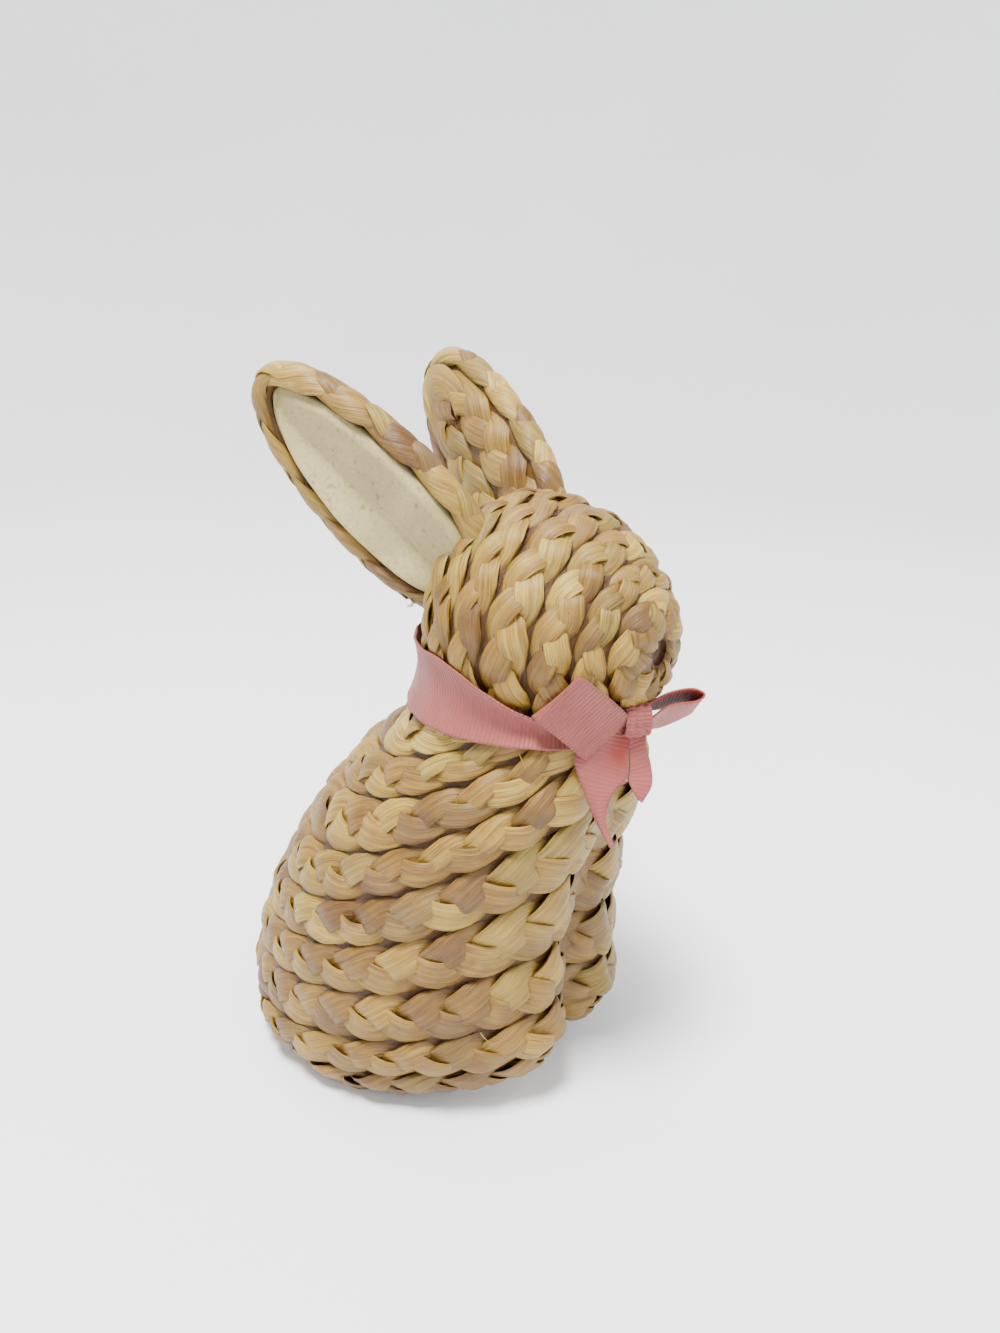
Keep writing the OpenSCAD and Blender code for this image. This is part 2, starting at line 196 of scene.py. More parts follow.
class Build:
    """Collects grids of points and makes one mesh object of them."""

    def __init__(self):
        self.points, self.faces, self.fibre, self.lobe = [], [], [], []
        self.count = 0

    def grid(self, p, fibre, lobe, close_rows=False, close_columns=False,
             caps=False, keep=None):
        """Adds a grid of shape (rows, columns, 3) with its two attributes."""
        n, m = p.shape[:2]
        index = np.arange(n * m).reshape(n, m) + self.count
        if close_rows:
            index = np.vstack([index, index[:1]])
        if close_columns:
            index = np.hstack([index, index[:, :1]])
        quads = quads_of(index)
        if keep is not None:
            kept = np.concatenate([np.zeros(self.count, bool), keep.ravel()])
            quads = quads[kept[quads].all(1)]
        self.faces += quads.tolist()
        if caps:
            self.faces += [index[0, :m].tolist()[::-1], index[-1, :m].tolist()]
        self.points.append(p.reshape(-1, 3))
        self.fibre.append(np.broadcast_to(fibre, (n, m, 3)).reshape(-1, 3))
        self.lobe.append(np.broadcast_to(lobe, (n, m, 3)).reshape(-1, 3))
        self.count += n * m

    def done(self, name, material, nodes=(), floor=None):
        points = np.concatenate(self.points)
        if floor is not None:
            points[:, 2] = np.maximum(points[:, 2], floor)
        if name.startswith(("husk_body_row", "husk_head_row")):
            points = held_in(points)
        mesh = bpy.data.meshes.new(name)
        mesh.from_pydata((points * MM).tolist(), [], self.faces)
        for key, data in (("fibre", self.fibre), ("lobe", self.lobe)):
            attribute = mesh.attributes.new(key, "FLOAT_VECTOR", "POINT")
            attribute.data.foreach_set(
                "vector", np.concatenate(data).astype(np.float32).ravel())
        mesh.shade_smooth()
        mesh.materials.append(material)
        piece = bpy.data.objects.new(name, mesh)
        bpy.context.collection.objects.link(piece)
        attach(piece, "root")
        if nodes:
            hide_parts(*nodes)
        return piece


def wander(count, n, closed, width=None):
    """n samples of a smooth random line with about count turning points."""
    shape = (count,) if width is None else (count, width)
    knots = random.uniform(-1, 1, shape)
    u = np.arange(n) * count / n if closed else np.linspace(0, count - 1, n)
    i = np.floor(u).astype(int) % count
    j = (i + 1) % count if closed else np.minimum(i + 1, count - 1)
    t = u - np.floor(u)
    t = (t * t * (3 - 2 * t)).reshape(-1, *([1] * (len(shape) - 1)))
    return knots[i] * (1 - t) + knots[j] * t


# Cross-section of a strand: the upper side is finer than the under side
TOP_POINTS, LOW_POINTS = 17, 6
_top = np.cos(np.linspace(0, np.pi, TOP_POINTS))
_low = np.cos(np.linspace(np.pi, 2 * np.pi, LOW_POINTS + 2))[1:-1]
SECTION_X = np.concatenate([_top, _low])
SECTION_Y = np.concatenate([(1 - np.abs(_top) ** 3.4) ** 0.7,
                            -0.8 * (1 - np.abs(_low) ** 3.4) ** 0.7])
UPPER = np.concatenate([np.ones(TOP_POINTS), np.zeros(LOW_POINTS)])
# Tone, hue and stain of the husk that shows in the gaps
BACKING_LOBE = np.array([0.3, 0.5, 0.5])


def lobe_values(t, choices, closed, waves):
    """One value for each visible lobe, changing where the strand is hidden."""
    c = (t - np.pi / 4) / np.pi
    k = np.floor(c).astype(int)
    r = smooth(0.82, 1, c - k)
    total = 2 * waves if closed else len(choices)
    return mix(choices[k % total], choices[(k + 1) % total], r), c - k


SWING_SHARP = 0.94  # nearer 1, a strand runs straighter and turns more sharply
EDGE_SHARE = 0.98   # a strand's points go no further across the band than this
STRAND_APART = 97   # sets the fibre pattern of the three strands apart


def plait(build, place, length, waves, closed, reach=0.57, lift=1.25, sink=1.5,
          wide=0.60, thick=0.66, step=0.85, ridge=0.13, droop=0.5, keep_z=None,
          backing=2.5, tones=(0.0, 1.0), roll=0.16, fold=0.4):
    """Three-strand flat plait along a band.

    place(s, q) gives the point, normal and half height of the band at the
    distance s along it and the share q from -1 to 1 across it. reach and wide
    are shares of the half height: how far the strand centres swing, and the
    half width of a strand. Strands fold down where they meet the band's edge.
    What lies outside the two heights keep_z is left out, and a sheet at the
    depth backing closes the gaps.
    """
    def kept(p):
        if keep_z is None:
            return None
        return (p[..., 2] > keep_z[0]) & (p[..., 2] < keep_z[1])

    n = int(length / step)
    s = (np.arange(n) * length / n) if closed else np.linspace(0, length, n)
    lobes = max(int(2 * waves) + 4, 4)
    for strand in range(3):
        start = 2 * np.pi * strand / 3
        t = 2 * np.pi * waves * s / length + start
        t = t + 0.20 * wander(max(int(2 * waves), 3), n, closed)
        picks = random.uniform(0, 1, (lobes, 8))

        def pick(i):
            return lobe_values(t, picks[:, i], closed, int(waves))[0]

        share = lobe_values(t, picks[:, 0], closed, int(waves))[1]
        top = -np.sin(2 * t)
        swing = np.arcsin(SWING_SHARP * np.sin(t)) / np.arcsin(SWING_SHARP)
        q = reach * swing * (0.92 + 0.16 * pick(6))
        half = place(s, q)[2]
        # the height of the strand's middle over the band
        level = -sink + lift * top * (0.9 + 0.25 * pick(5))
        open_ = smooth(-0.3, 0.3, top)
        half_w = half * wide * mix(0.84, 1, open_) * (0.92 + 0.16 * pick(4))
        half_t = thick * mix(1.15, 1, open_) * (0.85 + 0.3 * pick(5))
        grooves = ridge * wander(max(int(length / 14), 3), n, closed,
                                 len(SECTION_X))
        # a lapped edge of the folded husk runs along some lobes
        lap_at = mix(-0.75, 0.75, pick(1)) + mix(-1.3, 1.3, pick(2)) * (share - 0.5)
        lap = 0.16 * smooth(-0.08, 0.08, SECTION_X[None] - lap_at[:, None])
        lap *= (pick(7) > 0.45)[:, None] * UPPER
        facet = 0.3 * (pick(6) - 0.5)[:, None] * SECTION_X[None] ** 3
        # the leading edge of a strand on top lies lower than its other edge
        turn = roll * (pick(3) - 0.5) - 0.10 * np.sin(t)
        x = SECTION_X[None] * half_w[:, None]
        y = (SECTION_Y[None] * half_t[:, None] + x * turn[:, None]
             + (grooves + lap + facet) * np.where(SECTION_Y > 0, 1, 0.4))
        # lay the cross-section on the band, square to the strand's own path
        path = np.concatenate([q[-1:], q, q[:1]]) if closed else np.pad(q, 1, "edge")
        bearing = np.arctan2(half * (path[2:] - path[:-2]), 2 * length / n)[:, None]
        s_at = s[:, None] - x * np.sin(bearing)
        s_at = s_at % length if closed else np.clip(s_at, 0, length)
        q_at = q[:, None] + x * np.cos(bearing) / half[:, None]
        excess = np.maximum(np.abs(q_at) - 0.97, 0) * half[:, None]
        down = fold * excess + droop * smooth(0.5, 1.0, np.abs(q_at)) ** 1.5
        point, normal, _ = place(s_at, np.clip(q_at, -EDGE_SHARE, EDGE_SHARE))
        p = point + normal * (level[:, None] + y - down)[..., None]
        # painted shade: how deep each point lies below the band, for darkening the gaps
        painted_gap_shade = smooth(1.2, 3.6, -(level[:, None] + y - 0.6 * down))
        fibre = np.stack([
            np.broadcast_to((s + STRAND_APART * strand)[:, None], x.shape), x, painted_gap_shade], -1)
        tone = mix(tones[0], tones[1], pick(0))
        lobe = np.stack([tone, pick(1), pick(2)], -1)[:, None]
        build.grid(p, fibre, lobe, close_rows=closed, close_columns=True,
                   caps=not closed and keep_z is None, keep=kept(p))
    if backing:
        across = np.linspace(-1.04, 1.04, 5)
        sb = s[::3]
        rows = [place(sb, np.full(len(sb), a)) for a in across]
        p = np.stack([r[0] - r[1] * backing for r in rows], 1)
        fibre = np.zeros(p.shape)
        # painted shade: the backing sheet is painted nearly as dark as the deepest gaps
        fibre[..., 0], fibre[..., 1], fibre[..., 2] = sb[:, None], across * 7, 0.85
        build.grid(p, fibre, BACKING_LOBE, close_rows=closed, keep=kept(p))


# ---------- materials ----------
def rgb(r, g, b):
    """Display colour, 0 to 255, as a linear shader colour."""
    c = np.array([r, g, b]) / 255
    c = np.where(c <= 0.04045, c / 12.92, ((c + 0.055) / 1.055) ** 2.4)
    return (*c, 1.0)


class Shader:
    """Short ways to add and link shader nodes."""

    def __init__(self, name):
        self.material = bpy.data.materials.new(name)
        self.material.use_nodes = True
        self.tree = self.material.node_tree
        self.surface = self.tree.nodes["Principled BSDF"]

    def add(self, kind, inputs=None, out=0, **props):
        node = self.tree.nodes.new(kind)
        for key, value in props.items():
            setattr(node, key, value)
        for key, value in (inputs or {}).items():
            self.set(node.inputs[key], value)
        return node.outputs[out]

    def set(self, socket, value):
        if isinstance(value, bpy.types.NodeSocket):
            self.tree.links.new(value, socket)
        else:
            socket.default_value = value

    def math(self, operation, a, b=0.0, clamp=False):
        return self.add("ShaderNodeMath", {0: a, 1: b}, operation=operation,
                        use_clamp=clamp)

    def span(self, value, low, high, to_low=0.0, to_high=1.0):
        return self.add("ShaderNodeMapRange", {
            0: value, 1: low, 2: high, 3: to_low, 4: to_high})

    def blend(self, factor, a, b, how="MIX"):
        return self.add("ShaderNodeMix", {0: factor, 6: a, 7: b}, out=2,
                        data_type="RGBA", blend_type=how)

    def noise(self, vector, scale, detail=2.0, rough=0.5):
        return self.add("ShaderNodeTexNoise", {
            "Vector": vector, "Scale": scale, "Detail": detail,
            "Roughness": rough})

    def vector(self, x, y, z):
        return self.add("ShaderNodeCombineXYZ", {0: x, 1: y, 2: z})

    def attribute(self, name):
        vector = self.add("ShaderNodeAttribute", attribute_name=name, out=1)
        node = self.tree.nodes.new("ShaderNodeSeparateXYZ")
        self.tree.links.new(vector, node.inputs[0])
        return node.outputs[0], node.outputs[1], node.outputs[2]

    def ramp(self, factor, stops):
        node = self.tree.nodes.new("ShaderNodeValToRGB")
        while len(node.color_ramp.elements) < len(stops):
            node.color_ramp.elements.new(0.5)
        for element, (place, colour) in zip(node.color_ramp.elements, stops):
            element.position, element.color = place, colour
        self.tree.links.new(factor, node.inputs[0])
        return node.outputs[0]

    def bump(self, height, strength, distance, before=None):
        inputs = {"Height": height, "Strength": strength, "Distance": distance}
        if before is not None:
            inputs["Normal"] = before
        return self.add("ShaderNodeBump", inputs)

    def finish(self, **inputs):
        for key, value in inputs.items():
            self.set(self.surface.inputs[key.replace("_", " ")], value)
        return self.material


HUSK_TINT = np.array([0.665, 0.645, 0.30])  # darkens and warms every husk colour
RIB_RATE = 6.3  # radians of the ribs' wave to a millimetre of ribbon


def husk_material(name, tint=(1.0, 1.0, 1.0)):
    m = Shader(name)
    along, across, painted_gap_shade = m.attribute("fibre")
    tone, hue, stain = m.attribute("lobe")
    offset = m.math("MULTIPLY", tone, 37.0)
    # fibres: far longer than they are wide
    long_v = m.vector(m.math("MULTIPLY", along, 0.035),
                      m.math("MULTIPLY", across, 1.0), offset)
    fine_v = m.vector(m.math("MULTIPLY", along, 0.09),
                      m.math("MULTIPLY", across, 3.4), offset)
    patch_v = m.vector(m.math("MULTIPLY", along, 0.11),
                       m.math("MULTIPLY", across, 0.13), offset)
    broad = m.noise(long_v, 1.0, 2.0, 0.6)
    fine = m.noise(fine_v, 1.4, 2.0, 0.65)
    patch = m.noise(patch_v, 1.0, 2.0, 0.6)
    mixed = m.math("ADD", tone, m.span(patch, 0.3, 0.7, -0.16, 0.16))
    colour = m.ramp(mixed, [
        (0.0, rgb(126, 92, 42)), (0.22, rgb(158, 124, 62)),
        (0.5, rgb(180, 148, 80)), (0.78, rgb(200, 171, 99)),
        (1.0, rgb(222, 198, 134))])
    # weathered lobes are mauve-grey, some are olive
    colour = m.blend(m.span(hue, 0.0, 0.13, 0.8, 0.0), colour, rgb(146, 120, 96))
    colour = m.blend(m.span(hue, 0.72, 1.0, 0.0, 0.7), colour, rgb(164, 148, 82))
    # red-brown stains on a few lobes
    spot = m.math("MULTIPLY", m.span(stain, 0.86, 0.97),
                  m.span(patch, 0.45, 0.62), clamp=True)
    colour = m.blend(m.math("MULTIPLY", spot, 0.8), colour, rgb(122, 70, 40))
    colour = m.blend(m.span(broad, 0.3, 0.7, 0.0, 1.0),
                     m.blend(1.0, colour, rgb(204, 186, 158), "MULTIPLY"), colour)
    colour = m.blend(m.span(fine, 0.32, 0.54, 0.9, 0.0), colour,
                     m.blend(1.0, colour, rgb(182, 148, 104), "MULTIPLY"))
    # painted shade: husk lying deep in the gaps between strands is painted darker
    colour = m.blend(painted_gap_shade, colour,
                     m.blend(1.0, colour, rgb(132, 92, 54), "MULTIPLY"))
    colour = m.blend(1.0, colour, (*(HUSK_TINT * tint), 1.0), "MULTIPLY")
    cross_v = m.vector(m.math("MULTIPLY", along, 0.9),
                       m.math("MULTIPLY", across, 0.25), offset)
    wrinkle = m.noise(cross_v, 1.0, 2.0, 0.5)
    n = m.bump(broad, 0.5, 0.0006)
    n = m.bump(fine, 0.8, 0.00028, n)
    n = m.bump(wrinkle, 0.25, 0.0003, n)
    return m.finish(
        Base_Color=colour, Normal=n,
        Roughness=m.span(fine, 0.2, 0.8, 0.36, 0.56),
        Specular_IOR_Level=0.4)


def ribbon_material():
    m = Shader("grosgrain_ribbon")
    along, across, inside = m.attribute("fibre")
    strength = m.attribute("lobe")[0]
    rib = m.math("MULTIPLY", m.math("SINE", m.math("MULTIPLY", along, RIB_RATE)),
                 strength)
    thread_v = m.vector(m.math("MULTIPLY", along, 1.3), across, inside)
    thread = m.noise(thread_v, 5.0, 2.0, 0.6)
    shade = m.noise(m.vector(m.math("MULTIPLY", along, 0.1),
                             m.math("MULTIPLY", across, 0.1), inside), 1.0)
    colour = m.blend(m.span(shade, 0.3, 0.7), rgb(130, 64, 58), rgb(140, 73, 67))
    colour = m.blend(m.span(rib, -1.0, 1.0, 0.28, 0.0), colour, rgb(98, 42, 38))
    colour = m.blend(m.span(thread, 0.3, 0.7, 0.08, 0.0), colour, rgb(160, 96, 90))
    # painted shade: inner faces of loops and tails and the near tail's root are darkened
    colour = m.blend(inside, colour, rgb(118, 34, 22))
    n = m.bump(rib, 0.55, 0.00026)
    n = m.bump(thread, 0.3, 0.00008, n)
    return m.finish(Base_Color=colour, Normal=n, Roughness=0.62,
                    Specular_IOR_Level=0.3, Sheen_Weight=0.08,
                    Sheen_Roughness=0.4)


def pulp_material():
    m = Shader("pulp_lining")
    at = m.add("ShaderNodeTexCoord", out=3)
    cloud = m.noise(at, 90.0, 4.0, 0.6)
    speck = m.noise(at, 900.0, 3.0, 0.7)
    dots = m.noise(at, 420.0, 1.0, 0.5)
    colour = m.blend(m.span(cloud, 0.3, 0.7), rgb(158, 145, 98), rgb(178, 167, 120))
    colour = m.blend(m.span(speck, 0.35, 0.5, 0.4, 0.0), colour, rgb(134, 118, 76))
    colour = m.blend(m.span(dots, 0.64, 0.74, 0.0, 0.5), colour, rgb(112, 92, 54))
    # painted shade: the half in front of the crease is painted greyer, the shade of the
    # cupped lining
    front = m.span(m.attribute("fibre")[1], -1.2, 1.2, 0.75, 0.0)
    colour = m.blend(front, colour, m.blend(1.0, colour, rgb(222, 216, 212),
                                            "MULTIPLY"))
    n = m.bump(cloud, 0.35, 0.0008)
    n = m.bump(speck, 0.3, 0.0002, n)
    return m.finish(Base_Color=colour, Normal=n, Roughness=0.72,
                    Specular_IOR_Level=0.35)


def plain_material(name, low, high, scale, rough, stretch=1.0, depth=0.0003):
    """Material of the hidden and plain parts: foam, card, peg and glue."""
    m = Shader(name)
    at = m.add("ShaderNodeTexCoord", out=3)
    at = m.add("ShaderNodeMapping", {"Vector": at, "Scale": (1.0, 1.0, stretch)})
    cloud = m.noise(at, scale, 4.0, 0.6)
    colour = m.blend(m.span(cloud, 0.3, 0.7), low, high)
    n = m.bump(m.noise(at, scale * 4, 3.0, 0.6), 0.4, depth)
    return m.finish(Base_Color=colour, Normal=n, Roughness=rough)


husk = husk_material("husk")
ear_husk = husk_material("husk_ear", (0.96, 0.95, 0.94))
ribbon = ribbon_material()
pulp = pulp_material()
foam = plain_material("foam", rgb(236, 236, 230), rgb(248, 248, 244), 700.0, 0.8)
card = plain_material("grey_card", rgb(150, 122, 88), rgb(176, 148, 110), 300.0, 0.85)
bamboo = plain_material("bamboo", rgb(196, 160, 104), rgb(222, 192, 138), 260.0,
                        0.55, 0.06)
glue = plain_material("glue", rgb(226, 226, 220), rgb(244, 244, 240), 500.0, 0.35)

# ---------- body plait ----------
BODY_WAVE = 40.0  # about the length of one whole wave of a strand
HALF_RANGE = (5.0, 14.0)  # least and greatest half height of a band
BELOW_FLOOR, ABOVE_NECK = -30, 1.5  # a row is cut off there


def body_edge(k, th):
    """Height of the lower edge of body row k, not cut at the floor or neck."""
    if k == 0:
        return body_edge(1, th) - 13.0
    if k == len(ROW_H) - 1:
        return body_edge(k - 1, th) + 15.0
    return ROW_H[k] + ROW_RISE[k] * np.cos(th) + ROW_CURL[k] * np.cos(2 * th)


def mid_edge(k, th):
    """Height of the middle of body row k."""
    return (body_edge(k, th) + body_edge(k + 1, th)) / 2


def middle_line(k, th):
    return body_point(th, mid_edge(k, th))


def body_row(k):
    """One row of plait round the body, k counted from the base."""
    grid = np.linspace(0, 2 * np.pi, 1441)
    centre = mid_edge(k, -grid)
    middle = body_point(-grid, centre)
    run = arc_table(middle)

    # how far round the body a line square to the row leans
    on, back = -grid - TURN_STEP, -grid + TURN_STEP
    step_on = unit(middle_line(k, on) - middle_line(k, back))
    around = (body_point(on, centre) - body_point(back, centre)) / (2 * TURN_STEP)
    above = (body_point(-grid, centre + HEIGHT_STEP)
             - body_point(-grid, centre - HEIGHT_STEP)) / (2 * HEIGHT_STEP)
    # turn + share * lean stays square to the row: solve for the lean
    a_on, z_on = np.sum(around * step_on, -1), np.sum(above * step_on, -1)
    slope = (mid_edge(k, on) - mid_edge(k, back)) / (2 * TURN_STEP)
    gap = (body_edge(k + 1, -grid) - body_edge(k, -grid)) / 2
    lean = z_on * gap / (a_on + z_on * slope)

    top = body_point(-grid + lean, body_edge(k + 1, -grid + lean))
    bottom = body_point(-grid - lean, body_edge(k, -grid - lean))
    half = np.clip(np.linalg.norm(top - bottom, axis=1) / 2, *HALF_RANGE)

    def place(s, q):
        base = -np.interp(s, run, grid)
        th = base + q * np.interp(s, run, lean)
        lo, hi = body_edge(k, th), body_edge(k + 1, th)
        z = mix(lo, hi, (q + 1) / 2)
        inside = np.stack([0 * z, BASE_Y - LEAN * np.clip(z, 0, SECTION_H) / SECTION_H,
                           z], -1)
        n = normals(body_point, th, z, TURN_STEP, HEIGHT_STEP, inside)
        return body_point(th, z), n, np.interp(s, run, half)

    build = Build()
    waves = max(round(run[-1] / BODY_WAVE), 3)
    # painted shade: the lower rows are painted darker, for the shade on the lower body
    plait(build, place, run[-1], waves, True,
          keep_z=(BELOW_FLOOR, NECK_H + ABOVE_NECK),
          tones=(0.0, mix(0.58, 1.0, min(k / 6, 1))))
    build.done(f"husk_body_row_{k + 1}", husk,
               [f"body_plait_{k + 1}"], floor=0.35)


for row in range(len(ROW_H) - 1):
    body_row(row)

# ---------- head plait ----------
# Rings round the snout: share at the back edge and front edge, waves
HEAD_RINGS = [
    ("head_plait_1", [(-0.995, -0.94, 2), (-0.94, -0.80, 3)]),
    ("head_plait_2", [(-0.80, -0.58, 4)]),
    ("head_plait_3", [(-0.58, -0.30, 5)]),
    ("head_plait_4", [(-0.30, 0.0, 5)]),
    ("head_plait_5", [(0.0, 0.34, 5)]),
    ("head_plait_6", [(0.34, 0.61, 5)]),
    ("head_plait_7", [(0.61, 0.80, 4)]),
    ("head_plait_8", [(0.80, 0.986, 3)]),
]


HEAD_CUT = (112.5, 300)  # heights between which the head's plait is kept
RING_SHIFT = 0.06        # the rings lie nearer the nose at the top of the head
POLE = 0.9985            # share at which the two ends of the head are closed


def head_ring(build, u0, u1, waves):
    """One ring of plait between two shares along the snout."""
    grid = np.linspace(0, 2 * np.pi, 721)
    middle = head_point(grid, np.full(len(grid), (u0 + u1) / 2))
    run = arc_table(middle)
    half = arc_table(head_point(np.zeros(9), np.linspace(u0, u1, 9)))[-1] / 2

    def place(s, q):
        turn = np.interp(s, run, grid) - np.pi
        u = mix(u0, u1, (q + 1) / 2)
        u = u + RING_SHIFT * np.maximum(np.cos(turn), 0) * (1 - u * u)
        u = np.clip(u, -POLE, POLE)
        n = normals(head_point, turn, u, TURN_STEP, SHARE_STEP, HEAD_C)
        return head_point(turn, u), n, np.full(s.shape, half)

    # a narrow ring has thinner, flatter strands
    small = min(half / 5.5, 1)
    plait(build, place, run[-1], waves, True, step=0.7, lift=1.2 * small,
          thick=0.66 * (0.5 + 0.5 * small), droop=0.5 * small, ridge=0.11,
          backing=0.6 + 1.7 * small, keep_z=HEAD_CUT)


def head_pole(build, u0, u1):
    """Closes an end of the head below the innermost ring."""
    u = mix(u0, u1, np.linspace(0, 1, 20) ** 0.6)
    turns = full_turn(32)
    turn, u = np.broadcast_arrays(turns, u[:, None])
    n = normals(head_point, turn, u, TURN_STEP, SHARE_STEP, HEAD_C)
    fibre = np.zeros(n.shape)
    # painted shade: the pole is painted dark, darkest in the sunken hole at its middle
    hole = smooth(0.974, 0.992, np.abs(u))
    fibre[..., 0], fibre[..., 1], fibre[..., 2] = u * 20, turn * 4, mix(0.55, 1, hole)
    depth = mix(1.1, 3.4, hole)[..., None]
    build.grid(head_point(turn, u) - n * depth, fibre, np.full(3, 0.35),
               close_columns=True, caps=True)


for name, rings in HEAD_RINGS:
    build = Build()
    if name == "head_plait_1":
        head_pole(build, -0.93, -POLE)
    if name == "head_plait_8":
        head_pole(build, 0.9, POLE)
    for ring in rings:
        head_ring(build, *ring)
    build.done("husk_" + name.replace("plait", "row"), husk, [name])

# ---------- ears ----------
SIDES = (("left", 1), ("right", -1))


class Ear:
    """Frame of one ear: along it, across it and out of its lined face."""

    def __init__(self, side):
        self.root = np.array([15.4 * side, BASE_Y - LEAN + 10.6, 143.6])
        self.along = unit([side * 0.26, 0.71, 0.69])
        flat = np.array([side, 0, 0.0])
        self.out = unit(flat - self.along * (flat @ self.along))
        self.across = side * np.cross(self.along, self.out)

    def point(self, x, y, level):
        return (self.root + np.multiply.outer(x, self.along)
                + np.multiply.outer(y, self.across)
                + np.multiply.outer(level, self.out))


def leaf(a):
    """Middle line of the rim for an angle from the root, 0, to the tip, pi."""
    return EAR_LEN * ((1 - np.cos(a)) / 2) ** 1.37, EAR_HALF * np.sin(a)


def leaf_normal(a):
    """Outward direction of that line, along and across the ear."""
    x0, y0 = leaf(a - 0.02)
    x1, y1 = leaf(a + 0.02)
    n = unit(np.stack([-(y1 - y0), x1 - x0], -1))
    return n[..., 0], n[..., 1]


RIM_FROM, RIM_TO = 38, 360 - 52    # angles round the leaf where the rim starts, ends
BACK_FROM, BACK_TO = 46, 360 - 58  # and the plait on the back
RIM_BEND = np.radians(132)         # how far round the edge the rim is folded
RIM_WAVE, BACK_WAVE = 40.0, 36.0
CORE_ROWS, CORE_SIDES = 160, 14


def ear_rim(ear, name):
    """The plait that is folded over the edge of the ear."""
    a = np.linspace(np.radians(RIM_FROM), np.radians(RIM_TO), 900)
    x, y = leaf(a)
    run = arc_table(np.stack([x, y], -1))
    half_x, half_y = RIM_HALF - 0.1, 3.9

    def place(s, q):
        at = np.interp(s, run, a)
        px, py = leaf(at)
        nx, ny = leaf_normal(at)
        bend = q * RIM_BEND
        outward, level = np.cos(bend), np.sin(bend)
        p = ear.point(px + nx * half_x * outward, py + ny * half_x * outward,
                      half_y * level - 0.9)
        n = unit(np.multiply.outer(nx * outward / half_x, ear.along)
                 + np.multiply.outer(ny * outward / half_x, ear.across)
                 + np.multiply.outer(level / half_y, ear.out))
        return p, n, np.full(s.shape, 8.2)

    build = Build()
    plait(build, place, run[-1], run[-1] / RIM_WAVE, False, reach=0.5, sink=0.8,
          lift=0.7, thick=0.55, droop=0.1, step=0.7, backing=0, wide=0.64,
          roll=0.05)
    # a core closes the gaps between the strands, painted dark as painted shade
    core_s = np.linspace(0, run[-1], CORE_ROWS)
    ring = full_turn(CORE_SIDES)
    at = np.interp(core_s, run, a)
    px, py = leaf(at)
    nx, ny = leaf_normal(at)
    off = np.cos(ring)[None] * (half_x - 1.7)
    p = ear.point(px[:, None] + nx[:, None] * off, py[:, None] + ny[:, None] * off,
                  np.broadcast_to(np.sin(ring)[None] * (half_y - 1.6) - 0.5,
                                  (CORE_ROWS, CORE_SIDES)) - 0.4)
    fibre = np.zeros(p.shape)
    fibre[..., 0], fibre[..., 1], fibre[..., 2] = core_s[:, None], ring, 0.7
    build.grid(p, fibre, BACKING_LOBE, close_columns=True, caps=True)
    build.done(f"husk_ear_rim_{name}", ear_husk, [f"ear_rim_{name}"])


SPINE = (16.0, 47.0)  # the two halves of the back meet between these


def ear_back(ear, name):
    """The plait that runs up one half of the back and down the other."""
    a = np.linspace(np.radians(BACK_FROM), np.radians(BACK_TO), 900)

    def band(at, q):
        x, y = leaf(at)
        nx, ny = leaf_normal(at)
        ox, oy = x - nx * (RIM_HALF - 2.3), y - ny * (RIM_HALF - 2.3)
        sx = np.clip(ox, SPINE[0], SPINE[1])
        t = (q + 1) / 2
        return mix(sx, ox, t), mix(0 * oy, oy, t)

    x, y = band(a, np.zeros(len(a)))
    run = arc_table(np.stack([x, y], -1))

    def place(s, q):
        at = np.interp(s, run, a)
        px, py = band(at, q)
        wide = np.abs(py) / EAR_HALF
        level = -3.6 - 2.6 * (1 - np.clip(wide, 0, 1) ** 2)
        p = ear.point(px, py, level)
        tilt = 0.3 * py / EAR_HALF
        n = unit(-ear.out + tilt[..., None] * ear.across)
        x0, y0 = band(at, np.full(s.shape, -1.0))
        x1, y1 = band(at, np.full(s.shape, 1.0))
        return p, n, np.clip(np.hypot(x1 - x0, y1 - y0) / 2, 3.0, 7.5)

    build = Build()
    plait(build, place, run[-1], run[-1] / BACK_WAVE, False, sink=0.5, lift=1.0,
          thick=0.7, droop=0.5, step=0.7, backing=0, wide=0.6,
          tones=(0.0, 0.85))
    # a sheet behind the strands, painted dark as painted shade
    shares, turns = np.linspace(0, 1, 7), full_turn(60)
    lx, ly = leaf(turns)
    nx, ny = leaf_normal(turns)
    p = ear.point(mix(37.0, lx - nx * 0.8, shares[:, None]),
                  mix(0.0, ly - ny * 0.8, shares[:, None]),
                  -3.4 - 1.9 * (1 - shares[:, None] ** 2) * np.ones((7, 60)))
    fibre = np.zeros(p.shape)
    fibre[..., 2] = 0.6
    build.grid(p, fibre, BACKING_LOBE, close_columns=True)
    build.done(f"husk_ear_back_{name}", ear_husk, [f"ear_back_{name}"])


